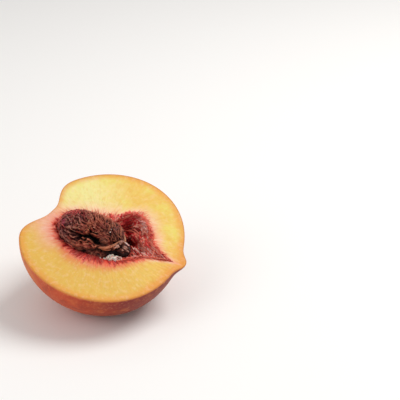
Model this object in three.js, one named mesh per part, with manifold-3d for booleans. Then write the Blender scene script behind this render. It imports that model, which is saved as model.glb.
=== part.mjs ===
import * as THREE from 'three';
import Module from 'manifold-3d';
import { mergeVertices } from 'three/addons/utils/BufferGeometryUtils.js';

// One half of a ripe peach, cut along its seam and lying on its skin with the stone still in it.
// Lengths are millimetres and angles are degrees.
// In the fruit's own frame +X runs from the stem to the tip, the cut face is the XY plane with its
// origin in the middle of the fruit, and the flesh lies below it. A bearing is an angle in the cut
// plane, counted from the tip's side towards +Y.

// How the half lies: the cut face leans forward and the fruit is turned on it.
const faceTurn = 20.8;
const faceLean = 20.75;
const fruitSpin = -47.7;
const cutCentre = new THREE.Vector3(-2.18, -1.3, 32.6);

// The skin: a rounded half, a little longer than a ball on some bearings.
const cheekRadius = 38.1;
const halfDepth = 33.6;
const lobes = [
  { count: 1, amount: 2.7, towards: 28 },
  { count: 2, amount: 1.3, towards: 90 },
  { count: 3, amount: 0.9, towards: -30 },
];
const stemDimple = { depth: 9.1, spread: 23.3, bearing: 180, edge: 3 };
const tip = { height: 3.4, spread: 6.5, bearing: 9, edge: 2 };

// The seat that the stone has left in the flesh.
const seat = { x: -0.5, y: -2.5, halfLength: 19.4, halfWidth: 12, depth: 9.7 };

// The open part of the hollow, beyond the stone, with its narrow end towards the tip.
const pocket = { radius: 22.8, bearing: 38, spread: 48, edge: 5, depth: 8.5, floor: 4, slope: 0.8 };
const narrowEnd = { reach: 14, bearing: 7, spread: 7, edge: 1 };
const blend = 8;

// Two deep places in its wall, beside the stone's shoulder and its nose.
const pits = [
  { x: 6.8, y: 14.6, spread: 2.7, depth: 4.2 },
  { x: 12.5, y: 8, spread: 2.5, depth: 4 },
];
const pitFade = 0.12;

// Torn strings of flesh along the wall of the open part.
const strings = { count: 34, height: 0.45, waver: 3 };

// The stone: broad at the stem, with a narrow nose at the tip's end.
const stone = { x: -0.5, y: -2.5, halfLength: 18.3, halfWidth: 11.1, halfThickness: 9, bluntness: 0.85 };
const nose = { start: 7.5, end: 14, pinch: 0.4 };
const slimSide = { start: -6, end: 9, slim: 0.2 };

// Its furrows: a maze of grooves, longer than wide.
const maze = { length: 15, width: 8.8, depth: 1.1, sharpness: 0.6, bend: 55, drift: 0.63 };

// Its broad features. Each has stations along the stone: x from the stone's middle, the angle
// around the stone, half the feature's width there, and how far it stands out, below 0 if cut in.
const valley = [
  [-16, 142, 0.7, 0],
  [-8, 139, 1.1, -2.4],
  [-1, 132.5, 1.8, -3.4],
  [4, 134, 2.8, -4.4],
  [7.2, 143, 1.4, -2.4],
  [12.4, 95, 1.3, 0],
];
const keelGroove = [
  [-10, 152, 0.7, 0],
  [-2, 154, 0.8, -0.9],
  [4, 155, 0.7, 0],
];
const keelRidge = [
  [-14.5, 160, 0.8, 0],
  [-4, 162, 0.8, 0.7],
  [6, 157, 0.8, 0.9],
  [10.1, 140, 0.9, 1],
  [13.1, 88, 2.2, 0.8],
  [14.2, 60, 1.5, 0],
];
const undercut = [
  [-10, 178, 0.8, 0],
  [2, 175, 0.9, -1],
  [10, 171, 1.8, -2.5],
  [14, 176, 2, -2.3],
  [17, 182, 1.2, 0],
];

// How finely the surfaces are divided.
const fruitColumns = 84;
const skinRows = 19;
const faceRows = 4;
const hollowRows = 13;
const stoneColumns = 60;
const stoneRows = 61;

// The floor that the skin is pressed flat against.
const floorSize = 200;
const floorThickness = 20;

const fullTurn = 360;
const halfTurn = 180;
const quarterTurn = 90;
const sin = (angle) => Math.sin(THREE.MathUtils.degToRad(angle));
const cos = (angle) => Math.cos(THREE.MathUtils.degToRad(angle));
const bell = (distance, spread, edge) => Math.exp(-(Math.abs(distance / spread) ** edge));
const between = (a, b) => Math.abs(((a - b + fullTurn + halfTurn) % fullTurn) - halfTurn);
const direction = (bearing) => new THREE.Vector3(cos(bearing), sin(bearing), 0);

function angleBetween(a, b) {
  return THREE.MathUtils.radToDeg(a.angleTo(b));
}

// A point of the skin. rise is 0 at the lowest point of the fruit and a quarter turn on the rim.
function skinPoint(bearing, rise) {
  const radius = lobes.reduce(
    (sum, lobe) => sum + lobe.amount * cos(lobe.count * (bearing - lobe.towards)),
    cheekRadius,
  );
  const point = direction(bearing).multiplyScalar(radius * sin(rise));
  point.z = -halfDepth * cos(rise);
  const fromStem = angleBetween(point, direction(stemDimple.bearing));
  const fromTip = angleBetween(point, direction(tip.bearing));
  const dimple = stemDimple.depth * bell(fromStem, stemDimple.spread, stemDimple.edge);
  const peak = tip.height * bell(fromTip, tip.spread, tip.edge);
  return point.setLength(point.length() - dimple + peak);
}

// The distance from the fruit's middle to the edge of the seat, where it crosses the cut face.
function seatRadius(bearing) {
  const across = (cos(bearing) / seat.halfLength) ** 2 + (sin(bearing) / seat.halfWidth) ** 2;
  const slide = (seat.x * cos(bearing)) / seat.halfLength ** 2
    + (seat.y * sin(bearing)) / seat.halfWidth ** 2;
  const offset = (seat.x / seat.halfLength) ** 2 + (seat.y / seat.halfWidth) ** 2;
  return (slide + Math.sqrt(slide ** 2 - across * (offset - 1))) / across;
}

// The distance from the fruit's middle to the edge of the whole hollow.
function hollowRadius(bearing) {
  const open = pocket.radius * bell(between(bearing, pocket.bearing), pocket.spread, pocket.edge);
  const both = (seatRadius(bearing) ** blend + open ** blend) ** (1 / blend);
  const away = between(bearing, narrowEnd.bearing);
  return both + narrowEnd.reach * bell(away, narrowEnd.spread, narrowEnd.edge);
}

// How much deeper the pits make the wall of the open part.
function pitsDepth(point) {
  return pits.reduce((sum, pit) => {
    const away = Math.hypot(point.x - pit.x, point.y - pit.y);
    return sum + pit.depth * bell(away, pit.spread, 2);
  }, 0);
}

// A point of the hollow's surface, at a part of the way from its middle, 0, to its edge, 1.
function hollowPoint(bearing, part) {
  const point = direction(bearing).multiplyScalar(part * hollowRadius(bearing));
  const away = ((point.x - seat.x) / seat.halfLength) ** 2 + ((point.y - seat.y) / seat.halfWidth) ** 2;
  const seatDepth = seat.depth * Math.sqrt(Math.max(0, 1 - away));
  const wall = (1 - part ** pocket.floor) ** pocket.slope;
  const wave = strings.count * bearing + halfTurn * Math.sin(strings.waver * part);
  const string = strings.height * sin(wave) * sin(halfTurn * wall);
  const pitDepth = pitsDepth(point) * THREE.MathUtils.smoothstep(1 - part, 0, pitFade);
  point.z = -Math.max(seatDepth, pocket.depth * wall + string + pitDepth);
  return point;
}

// A point of the stone's surface. along runs from 0 at the stem's end to a half turn at the nose,
// and around from 0 on the far side over the top to the near side at a half turn.
function stonePoint(along, around) {
  const x = -stone.halfLength * cos(along);
  const narrowing = 1 - nose.pinch * THREE.MathUtils.smoothstep(stone.x + x, nose.start, nose.end);
  const slimness = slimSide.slim * THREE.MathUtils.smoothstep(x, slimSide.start, slimSide.end);
  const girth = narrowing * sin(along) ** stone.bluntness;
  const y = stone.halfWidth * girth * cos(around) * (cos(around) < 0 ? 1 - slimness : 1);
  const z = stone.halfThickness * girth * sin(around);
  const outward = new THREE.Vector3(
    x / stone.halfLength ** 2,
    y / stone.halfWidth ** 2,
    z / stone.halfThickness ** 2,
  ).normalize();
  const point = new THREE.Vector3(x, y, z).addScaledVector(outward, stoneRelief(x, y, z, around));
  return point.add(new THREE.Vector3(stone.x, stone.y, 0));
}

// A smooth curve through a feature's stations, which gives its angle, half width and height at x.
function curveThrough(feature) {
  const places = feature.map(([x]) => x);
  const values = feature.flatMap(([, ...rest]) => rest);
  return new THREE.CubicInterpolant(places, values, values.length / places.length);
}

const broadFeatures = [valley, keelGroove, keelRidge, undercut].map(curveThrough);

// How far a broad feature raises the stone at a place where its radius is girth.
function featureHeight(feature, x, around, girth) {
  const [middle, width, height] = feature.evaluate(x);
  const beside = THREE.MathUtils.degToRad(between(around, middle)) * girth;
  return height * bell(beside, width, 2);
}

// What stands out of the stone's smooth form, or is cut into it where the value is below 0.
function stoneRelief(x, y, z, around) {
  const u = (fullTurn * x) / maze.length;
  const v = (fullTurn * y) / maze.width;
  const w = (fullTurn * z) / maze.width;
  const a = u + maze.bend * sin(maze.drift * (v + w));
  const b = v + maze.bend * sin(maze.drift * (w - u));
  const c = w + maze.bend * sin(maze.drift * (u + v));
  const level = sin(a) * cos(b) + sin(b) * cos(c) + sin(c) * cos(a);
  const furrow = maze.depth * bell(level, maze.sharpness, 2);
  const girth = Math.hypot(y, z);
  const heights = broadFeatures.map((feature) => featureHeight(feature, x, around, girth));
  return heights.reduce((sum, height) => sum + height, -furrow);
}

// A closed surface through rings of points, shut by one point at each end.
function wrap(first, rings, last) {
  const columns = rings[0].length;
  const points = [first, ...rings.flat(), last];
  const index = [];
  for (let column = 0; column < columns; column += 1) {
    const next = (column + 1) % columns;
    index.push(0, 1 + next, 1 + column);
    for (let row = 1; row < rings.length; row += 1) {
      const low = 1 + (row - 1) * columns;
      const high = low + columns;
      index.push(low + column, low + next, high + next);
      index.push(low + column, high + next, high + column);
    }
    const lastRing = 1 + (rings.length - 1) * columns;
    index.push(lastRing + column, lastRing + next, points.length - 1);
  }
  const geometry = new THREE.BufferGeometry().setFromPoints(points);
  geometry.setIndex(index);
  return geometry;
}

// One ring of points: place(angle) gives the point at each angle of a full turn.
function ring(columns, place) {
  return Array.from({ length: columns }, (_, column) => place((fullTurn * column) / columns));
}

// The skin from the bottom to the rim, the cut face in to the hollow, and the hollow to its middle.
function fleshGeometry() {
  const rings = [];
  for (let row = 1; row <= skinRows; row += 1) {
    rings.push(ring(fruitColumns, (bearing) => skinPoint(bearing, (quarterTurn * row) / skinRows)));
  }
  for (let row = 1; row <= faceRows; row += 1) {
    rings.push(ring(fruitColumns, (bearing) => skinPoint(bearing, quarterTurn)
      .lerp(hollowPoint(bearing, 1), row / faceRows)
      .setZ(0)));
  }
  for (let row = 1; row < hollowRows; row += 1) {
    const part = cos((quarterTurn * row) / hollowRows);
    rings.push(ring(fruitColumns, (bearing) => hollowPoint(bearing, part)));
  }
  return wrap(skinPoint(0, 0), rings, hollowPoint(0, 0));
}

function stoneGeometry() {
  const rings = [];
  for (let row = 1; row < stoneRows; row += 1) {
    const along = (halfTurn * row) / stoneRows;
    rings.push(ring(stoneColumns, (around) => stonePoint(along, around)));
  }
  return wrap(stonePoint(0, 0), rings, stonePoint(halfTurn, 0));
}

function toSolid(wasm, geometry) {
  const bare = geometry.clone();
  bare.deleteAttribute('normal');
  bare.deleteAttribute('uv');
  const merged = mergeVertices(bare);
  return new wasm.Manifold(new wasm.Mesh({
    numProp: 3,
    vertProperties: merged.attributes.position.array,
    triVerts: new Uint32Array(merged.index.array),
  }));
}

function fromSolid(solid) {
  const mesh = solid.getMesh();
  const geometry = new THREE.BufferGeometry();
  geometry.setAttribute('position', new THREE.BufferAttribute(mesh.vertProperties, 3));
  geometry.setIndex(new THREE.BufferAttribute(mesh.triVerts, 1));
  geometry.computeVertexNormals();
  return geometry;
}

// The flesh with its skin pressed flat where it lies on the floor, which is z = 0 of the lying half.
function restingFlesh(wasm, lying) {
  const floor = new THREE.BoxGeometry(floorSize, floorSize, floorThickness);
  floor.translate(0, 0, -floorThickness / 2);
  floor.applyMatrix4(lying.matrixWorld.clone().invert());
  return fromSolid(toSolid(wasm, fleshGeometry()).subtract(toSolid(wasm, floor)));
}

function fleshMaterial() {
  return new THREE.MeshStandardMaterial({ color: 0xefd07c, roughness: 0.45, metalness: 0 });
}

function stoneMaterial() {
  return new THREE.MeshStandardMaterial({ color: 0x6e3a2a, roughness: 0.7, metalness: 0 });
}

const wasm = await Module();
wasm.setup();

const fruit = new THREE.Group();
fruit.rotation.z = THREE.MathUtils.degToRad(fruitSpin);

const leaning = new THREE.Group();
leaning.rotation.x = THREE.MathUtils.degToRad(faceLean);
leaning.add(fruit);

const peachHalf = new THREE.Group();
peachHalf.rotation.z = THREE.MathUtils.degToRad(faceTurn);
peachHalf.position.copy(cutCentre);
peachHalf.add(leaning);
peachHalf.updateMatrixWorld(true);

const fleshMesh = new THREE.Mesh(restingFlesh(wasm, fruit), fleshMaterial());
fleshMesh.name = 'flesh';
const stoneMesh = new THREE.Mesh(stoneGeometry(), stoneMaterial());
stoneMesh.name = 'stone';
fruit.add(fleshMesh, stoneMesh);

export default peachHalf;
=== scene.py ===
import math

import bpy
import numpy as np
from mathutils import Matrix, Vector, noise


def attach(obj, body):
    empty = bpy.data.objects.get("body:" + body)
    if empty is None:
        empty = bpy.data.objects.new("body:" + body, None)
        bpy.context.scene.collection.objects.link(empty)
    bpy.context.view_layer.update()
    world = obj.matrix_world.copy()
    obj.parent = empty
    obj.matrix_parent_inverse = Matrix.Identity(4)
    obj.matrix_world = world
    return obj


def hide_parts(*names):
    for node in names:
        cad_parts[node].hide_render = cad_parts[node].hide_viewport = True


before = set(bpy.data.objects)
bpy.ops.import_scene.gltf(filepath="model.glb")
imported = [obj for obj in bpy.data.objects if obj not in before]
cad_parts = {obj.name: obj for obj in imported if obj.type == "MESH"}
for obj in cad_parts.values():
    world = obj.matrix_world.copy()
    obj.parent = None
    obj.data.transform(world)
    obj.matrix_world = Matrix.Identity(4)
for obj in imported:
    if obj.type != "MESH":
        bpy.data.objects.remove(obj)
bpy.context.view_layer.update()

# Camera. It stands about 45 cm in front of the fruit and looks down on the cut face, with a lens
# long enough to keep the far side of the half nearly as wide as the near side.

cut_centre = Vector((-0.00218, -0.0013, 0.0326))
camera_data = bpy.data.cameras.new("camera")
camera_data.sensor_width = 36.0
camera_data.lens = 89.0
camera_data.clip_start = 0.01
camera_stand, camera_dip = Vector((0.0460, -0.3977, 0.2111)), 26.0
camera = bpy.data.objects.new("camera", camera_data)
camera.location = cut_centre + camera_stand
camera.rotation_euler = (math.radians(90.0 - camera_dip), 0.0, 0.0)
bpy.context.scene.collection.objects.link(camera)
bpy.context.scene.camera = camera

# Flesh. One half of a ripe peach, cut along its seam with a knife: pale yellow, moist, finely
# streaked from the stone outwards, with the hollow that the stone sits in. The open end of the
# hollow runs to a point towards the tip of the fruit, and its wall is torn and crimson.

# How the half lies: the fruit's x runs from its stem to its tip, and its z out of the cut face.
turned_on_table, leaning, turned_in_face = 20.8, 20.75, -47.7
lying = Matrix.Rotation(math.radians(turned_on_table), 3, "Z")
lying @= Matrix.Rotation(math.radians(leaning), 3, "X")
lying @= Matrix.Rotation(math.radians(turned_in_face), 3, "Z")
cheek_radius = 0.0381
half_depth = 0.0336
# Each lobe of the outline: how many swells it has, how high they are and where the first one is.
lobes = ((1, 0.0027, 28.0), (2, 0.0013, 90.0), (3, 0.0009, -30.0))
dimple_depth, dimple_spread, dimple_bearing = 0.0091, 23.3, 180.0
tip_height, tip_spread, tip_bearing = 0.0034, 6.5, 9.0
skin_thickness = 0.0003

seat_x, seat_y = -0.0005, -0.0025
seat_length, seat_width, seat_depth = 0.0194, 0.012, 0.0097
pocket_radius, pocket_bearing, pocket_spread, pocket_edge = 0.0228, 38.0, 48.0, 5.0
pocket_depth, pocket_floor, pocket_slope = 0.0085, 4.0, 0.8
narrow_reach, narrow_bearing, narrow_spread = 0.014, 7.0, 7.0
# Two deep places in the pocket, beside the stone's shoulder and its nose: x, y, spread and depth.
pocket_pits = ((0.0068, 0.0146, 0.0027, 0.0042), (0.0125, 0.0080, 0.0025, 0.0040))
# Painted shade on its wall, in two bands: the x and y of both their ends, and half their width.
painted_shade_bands = (
    (0.0046, 0.0148, 0.0114, 0.0150, 0.0018),
    (0.0090, 0.0108, 0.0150, 0.0070, 0.0023),
)
blend = 8.0


def bell(distance, spread, edge=2.0):
    """1 at no distance and 0 well past the spread; a higher edge makes the fall between steeper."""
    return np.exp(-np.abs(distance / spread) ** edge)


def eased(value, low, high):
    """0 where the value is under low and 1 where it is over high, eased between them."""
    t = np.clip((value - low) / (high - low), 0.0, 1.0)
    return t * t * (3.0 - 2.0 * t)


def past(a, b):
    """How many degrees a is past b on the way round, from -180 to 180."""
    return (a - b + 180.0) % 360.0 - 180.0


def turned(a, b):
    """The angle between two bearings, without its sign."""
    return np.abs(past(a, b))


def direction(bearing):
    """The way that a bearing points on the cut face: 0 is to the fruit's tip and 180 to its stem."""
    angle = np.radians(bearing)
    return np.stack([np.cos(angle), np.sin(angle), np.zeros_like(angle)], axis=-1)


def skin_point(bearing, rise, inset=0.0):
    """A point of the skin: rise is 0 at the bottom of the fruit and 90 on the rim of the cut."""
    bearing, rise = np.broadcast_arrays(np.asarray(bearing, float), np.asarray(rise, float))
    radius = np.full(bearing.shape, cheek_radius)
    for count, amount, towards in lobes:
        radius = radius + amount * np.cos(np.radians(count * (bearing - towards)))
    point = direction(bearing) * (radius * np.sin(np.radians(rise)))[..., None]
    point[..., 2] = -half_depth * np.cos(np.radians(rise))
    length = np.linalg.norm(point, axis=-1)
    way = point / length[..., None]
    from_stem = np.degrees(np.arccos(np.clip(way @ direction(dimple_bearing), -1.0, 1.0)))
    from_tip = np.degrees(np.arccos(np.clip(way @ direction(tip_bearing), -1.0, 1.0)))
    dimple = dimple_depth * bell(from_stem, dimple_spread, 3.0)
    peak = tip_height * bell(from_tip, tip_spread)
    return way * (length - dimple + peak - inset)[..., None]


def seat_radius(bearing):
    """From the middle of the fruit to the edge of the stone's seat, on the cut face."""
    x, y = np.cos(np.radians(bearing)), np.sin(np.radians(bearing))
    across = (x / seat_length) ** 2 + (y / seat_width) ** 2
    slide = seat_x * x / seat_length**2 + seat_y * y / seat_width**2
    offset = (seat_x / seat_length) ** 2 + (seat_y / seat_width) ** 2
    return (slide + np.sqrt(slide**2 - across * (offset - 1.0))) / across


def hollow_radius(bearing):
    """From the middle of the fruit to the edge of the whole hollow, on the cut face."""
    open_part = pocket_radius * bell(turned(bearing, pocket_bearing), pocket_spread, pocket_edge)
    both = (seat_radius(bearing) ** blend + open_part**blend) ** (1.0 / blend)
    return both + narrow_reach * bell(turned(bearing, narrow_bearing), narrow_spread, 1.0)


def hollow_point(bearing, part):
    """A point of the hollow's wall, at a part of the way from its middle, 0, to its edge, 1."""
    bearing, part = np.broadcast_arrays(np.asarray(bearing, float), np.asarray(part, float))
    point = direction(bearing) * (part * hollow_radius(bearing))[..., None]
    away = ((point[..., 0] - seat_x) / seat_length) ** 2 + ((point[..., 1] - seat_y) / seat_width) ** 2
    seat = seat_depth * np.sqrt(np.clip(1.0 - away, 0.0, 1.0))
    wall = pocket_depth * np.clip(1.0 - part**pocket_floor, 0.0, 1.0) ** pocket_slope
    for pit_x, pit_y, pit_spread, pit_extra in pocket_pits:
        from_pit = np.hypot(point[..., 0] - pit_x, point[..., 1] - pit_y)
        wall = wall + pit_extra * bell(from_pit, pit_spread) * eased(1.0 - part, 0.0, 0.12)
    point[..., 2] = -np.maximum(seat, wall)
    return point


def darkness(points):
    """How much painted shade a place on the open wall gets: 1 along its two shade bands and 0 away."""
    total = 0.0
    for x, y, to_x, to_y, half_width in painted_shade_bands:
        start, way = np.array([x, y]), np.array([to_x - x, to_y - y])
        part = np.clip((points[..., :2] - start) @ way / (way @ way), 0.0, 1.0)
        beside = points[..., :2] - start - part[..., None] * way
        total = total + bell(np.linalg.norm(beside, axis=-1), half_width, 4.0)
    return np.clip(total, 0.0, 1.0)


def roughness_of(points, scale, seed, octaves=4):
    """Fractal noise from about -1 to 1 at each point, for grain of the given size in metres."""
    flat = (points.reshape(-1, points.shape[-1]) / scale + seed).tolist()
    values = [noise.fractal(p, 0.6, 2.0, octaves) for p in flat]
    return np.array(values).reshape(points.shape[:-1])


def strips_of(bearing, along, count, length, seed, octaves=3):
    """Noise drawn out along the fibres that run from the stone outwards: count is how many strips
    there are to a radian, and length how long each is, in the units of along."""
    bearing, along = np.broadcast_arrays(np.asarray(bearing, float), np.asarray(along, float))
    place = direction(bearing) * count
    place[..., 2] = along / length
    return roughness_of(place, 1.0, seed, octaves)


flesh_columns = 600
underside_rows, face_rows, hollow_rows = 12, 46, 100
bearings = np.arange(flesh_columns) * 360.0 / flesh_columns
parts = np.sin(np.radians(90.0 * np.arange(1, hollow_rows + 1) / hollow_rows))
outs = (np.arange(1, face_rows + 1) / face_rows) ** 1.5
runs = np.concatenate([parts, 1.0 + outs])

rim = skin_point(bearings, 90.0, skin_thickness)
edge = hollow_point(bearings, 1.0)
face_length = np.linalg.norm(rim - edge, axis=-1)
hollow = hollow_point(bearings[None], parts[:, None])
face = edge[None] + (rim - edge)[None] * outs[:, None, None]
top = np.concatenate([hollow, face])

# The edge is torn and a little sunk, and its near side reaches in under the stone. The wall is drawn
# into crags and strips, less so in the seat, where the stone presses on it.
on_edge = strips_of(bearings, 0.0, 16.0, 1.0, 5.0, 4)
out_length = outs[:, None] * face_length[None]


def wall_and_face(wall, face_part):
    """One grid from a value for each row of the wall and one for each place of the face."""
    return np.concatenate([np.repeat(wall[:, None], flesh_columns, axis=1), face_part])


ragged_width, ragged_fade, ragged_power = 0.0011, 0.0015, 8.0
reach_of_edge = wall_and_face(parts**ragged_power, bell(out_length, ragged_fade, 1.0))
top += direction(bearings)[None] * (ragged_width * on_edge * reach_of_edge)[..., None]

# The near lip's reach in under the stone, in millimetres, at bearings round the fruit.
lip_bearings = (222, 245, 262, 280, 296, 306, 314, 326, 338, 348)
lip_reaches = (0.0, 0.5, 0.9, 1.7, 2.2, 1.9, 1.2, 0.8, 0.4, 0.0)
lip_power, lip_ragged = 24.0, 0.35
lip = 0.001 * np.interp(bearings, lip_bearings, lip_reaches) * (1.0 + lip_ragged * on_edge)
reach_of_lip = wall_and_face(parts**lip_power, reach_of_edge[hollow_rows:])
top -= direction(bearings)[None] * (lip * reach_of_lip)[..., None]

sunk, sunk_fade = 0.00045, 0.0009
top[..., 2] -= sunk * wall_and_face(eased(parts, 0.8, 1.0), bell(out_length, sunk_fade, 1.0))

stone_size = np.array([0.0183, 0.0111, 0.009])
stone_middle = np.array([seat_x, seat_y, 0.0])
clear_of_stone = eased(np.linalg.norm((hollow - stone_middle) / stone_size, axis=-1), 1.06, 1.4)
step_down = np.gradient(hollow, axis=0)
step_round = np.roll(hollow, -1, axis=1) - np.roll(hollow, 1, axis=1)
outward = np.cross(step_down, step_round)
outward *= np.sign(outward[..., 2])[..., None]
outward /= np.linalg.norm(outward, axis=-1)[..., None]
crag_size, crag_height, strip_height, shred_height = 0.0042, 0.0016, 0.0013, 0.0005
crags = crag_height * roughness_of(hollow, crag_size, 11.0, 3)
broad_strips = strip_height * strips_of(bearings[None], parts[:, None], 9.0, 0.5, 13.0)
fine_strips = shred_height * strips_of(bearings[None], parts[:, None], 34.0, 0.22, 17.0)
pressed, kept_at_edge = 0.15, 0.25
near_edge = 1.0 - (1.0 - kept_at_edge) * eased(parts, 0.88, 1.0)
relief = (crags + broad_strips + fine_strips) * (pressed + (1.0 - pressed) * clear_of_stone)
top[:hollow_rows] += outward * (relief * near_edge[:, None])[..., None]

# The cut itself is all but flat, with a faint grain that is stronger where the edge is torn.
grain_size, grain_height = 0.006, 0.00012
cut_strip_height, torn_strip_height, torn_strip_reach = 0.00004, 0.00022, 0.0022
face_grain = roughness_of(face, grain_size, 3.0)
face_strips = strips_of(bearings[None], out_length, 40.0, 0.004, 19.0)
strips_high = cut_strip_height + torn_strip_height * bell(out_length, torn_strip_reach, 1.0)
flat_at_rim = np.minimum(1.0, (1.0 - outs) * 12.0)[:, None]
top[hollow_rows:, :, 2] += flat_at_rim * (grain_height * face_grain + strips_high * face_strips)


def between(grid, row, column):
    """The grid's value at a row and a column that lie between its own; its columns run round."""
    columns = grid.shape[1]
    low = np.clip(np.floor(row).astype(int), 0, grid.shape[0] - 2)
    left = np.floor(column).astype(int)
    down = (row - low)[..., None]
    over = (column - left)[..., None]
    left, right = left % columns, (left + 1) % columns
    upper = grid[low, left] * (1.0 - over) + grid[low, right] * over
    lower = grid[low + 1, left] * (1.0 - over) + grid[low + 1, right] * over
    return upper * (1.0 - down) + lower * down


def on_flesh(bearing, run):
    """A point of the finished flesh: run is 0 in the middle of the hollow, 1 on its edge and 2 on
    the rim of the cut."""
    bearing, run = np.broadcast_arrays(np.asarray(bearing, float), np.asarray(run, float))
    row = np.interp(run, runs, np.arange(len(runs)))
    return between(top, row, (bearing % 360.0) / 360.0 * flesh_columns)


# How far the crimson stain reaches past the edge of the hollow, in millimetres, at bearings round
# the fruit.
stain_bearings = (0, 13, 30, 45, 57, 66, 75, 84, 92, 102, 130, 150, 180, 200, 220, 240, 262)
stain_bearings += (276, 296, 317, 337, 351)
stain_reaches = (2.4, 1.4, 1.6, 1.1, 0.8, 1.4, 1.4, 3.4, 4.4, 2.0, 1.0, 1.2, 0.9, 1.2, 2.0, 2.4, 3.0)
stain_reaches += (3.3, 2.8, 2.2, 1.8, 3.2)


def stain_reach(bearing):
    """How far the stain reaches at a bearing, in metres."""
    return np.interp(bearing, stain_bearings, stain_reaches, period=360.0) * 0.001


def joined_mesh(name, points, faces, facts, lowest=skin_thickness):
    """A mesh object of points in the fruit's frame, laid down as the half lies and pressed flat at
    the lowest height. facts are values kept at each of its points."""
    points = points @ np.array(lying).T + np.array(cut_centre)
    points[:, 2] = np.maximum(points[:, 2], lowest)
    mesh = bpy.data.meshes.new(name)
    mesh.from_pydata(points.tolist(), [], faces)
    mesh.shade_smooth()
    for fact, values in facts.items():
        layer = mesh.attributes.new(fact, "FLOAT", "POINT")
        layer.data.foreach_set("value", np.asarray(values, np.float32))
    piece = bpy.data.objects.new(name, mesh)
    bpy.context.scene.collection.objects.link(piece)
    return piece


def closed_faces(rows, columns, copies=1, turned_over=False):
    """The faces of closed pieces, each made of a first point, rows of ring points and a last one.
    They look outwards where the rings turn left as they rise, and otherwise are turned over."""
    column = np.arange(columns)
    after = (column + 1) % columns
    low = 1 + np.arange(rows - 1)[:, None] * columns
    quads = np.stack([low + column, low + after, low + columns + after, low + columns + column], axis=-1)
    end = 1 + (rows - 1) * columns
    root = np.stack([np.zeros_like(column), 1 + after, 1 + column], axis=-1)
    tip = np.stack([end + column, end + after, np.full_like(column, end + columns)], axis=-1)
    starts = (np.arange(copies) * (end + columns + 1))[:, None, None]
    faces = (quads.reshape(1, -1, 4) + starts).reshape(-1, 4).tolist()
    faces += (np.concatenate([root, tip])[None] + starts).reshape(-1, 3).tolist()
    return [face[:1] + face[:0:-1] for face in faces] if turned_over else faces


def wrapped_mesh(name, first, rings, last, facts, lowest=skin_thickness):
    """A closed mesh through rings of points with a point at each end."""
    points = np.concatenate([first[None], rings.reshape(-1, 3), last[None]])
    return joined_mesh(name, points, closed_faces(*rings.shape[:2]), facts, lowest)


flesh_rises = np.arange(1, underside_rows + 1) * 90.0 / underside_rows
underside = skin_point(bearings[None], flesh_rises[:, None], skin_thickness)
flesh_first = skin_point(0.0, 0.0, skin_thickness)
flesh_last = top[0].mean(axis=0)
flesh_rings = np.concatenate([underside, top[-2::-1]])
everywhere = np.concatenate([flesh_first[None], flesh_rings.reshape(-1, 3), flesh_last[None]])
flat_bearing = np.degrees(np.arctan2(everywhere[:, 1], everywhere[:, 0]))
flat_radius = np.hypot(everywhere[:, 0], everywhere[:, 1])
from_hollow = flat_radius - hollow_radius(flat_bearing)
from_rim = np.linalg.norm(skin_point(flat_bearing, 90.0), axis=-1) - flat_radius
flesh_facts = {
    "from_hollow": from_hollow,
    "from_rim": from_rim,
    "from_stain": from_hollow - stain_reach(flat_bearing),
    "darkness": darkness(everywhere),
}
flesh = wrapped_mesh("flesh_body", flesh_first, flesh_rings, flesh_last, flesh_facts)


class Wire:
    """A socket in a material's nodes. Sums of wires and numbers become Math nodes."""

    def __init__(self, tree, socket=None):
        self.tree = tree
        self.socket = socket

    def node(self, kind, settings=None, sockets=None, output=0):
        made = self.tree.nodes.new(kind)
        for name, value in (settings or {}).items():
            if name == "stops":
                ramp = made.color_ramp
                while len(ramp.elements) < len(value):
                    ramp.elements.new(0.5)
                for element, (place, shade) in zip(ramp.elements, value):
                    element.position = place
                    element.color = shade
            else:
                setattr(made, name, value)
        for name, value in (sockets or {}).items():
            if isinstance(value, Wire):
                self.tree.links.new(value.socket, made.inputs[name])
            else:
                made.inputs[name].default_value = value
        return Wire(self.tree, made.outputs[output]) if made.outputs else None

    def math(self, operation, first, second=0.0, third=0.0):
        settings = {"operation": operation}
        return self.node("ShaderNodeMath", settings, {0: first, 1: second, 2: third})

    def __add__(self, other):
        return self.math("ADD", self, other)

    def __sub__(self, other):
        return self.math("SUBTRACT", self, other)

    def __rsub__(self, other):
        return self.math("SUBTRACT", other, self)

    def __mul__(self, other):
        return self.math("MULTIPLY", self, other)

    def __truediv__(self, other):
        return self.math("DIVIDE", self, other)

    __radd__ = __add__
    __rmul__ = __mul__

    def clamped(self):
        return self.node("ShaderNodeClamp", {}, {"Value": self})

    def step(self, low, high):
        """0 where the wire is under low and 1 where it is over high, eased between them."""
        sockets = {"Value": self, "From Min": low, "From Max": high}
        return self.node("ShaderNodeMapRange", {"interpolation_type": "SMOOTHSTEP"}, sockets)

    def mixed(self, first, second):
        """Colour first where the wire is 0 and second where it is 1."""
        sockets = {"Factor": self, 6: first, 7: second}
        return self.node("ShaderNodeMix", {"data_type": "RGBA"}, sockets, output=2)

    def vector(self, operation, second, output=0):
        """Vector maths on a place and a second one."""
        settings = {"operation": operation}
        return self.node("ShaderNodeVectorMath", settings, {0: self, 1: second}, output)

    def away_from(self, point):
        """How far a place is from a point, in metres."""
        return self.vector("DISTANCE", point, "Value")

    def axes(self):
        """The x, y and z of a place."""
        return [self.node("ShaderNodeSeparateXYZ", {}, {0: self}, axis) for axis in "XYZ"]

    def bumped(self, strength, distance):
        """The normal of a surface that the wire raises by up to a distance."""
        sockets = {"Height": self, "Strength": strength, "Distance": distance}
        return self.node("ShaderNodeBump", {}, sockets)

    def surfaced(self, sockets):
        """Ends a material with its surface, from values and wires for the surface's sockets."""
        surface = self.node("ShaderNodeBsdfPrincipled", {}, sockets)
        self.node("ShaderNodeOutputMaterial", {}, {"Surface": surface})


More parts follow.
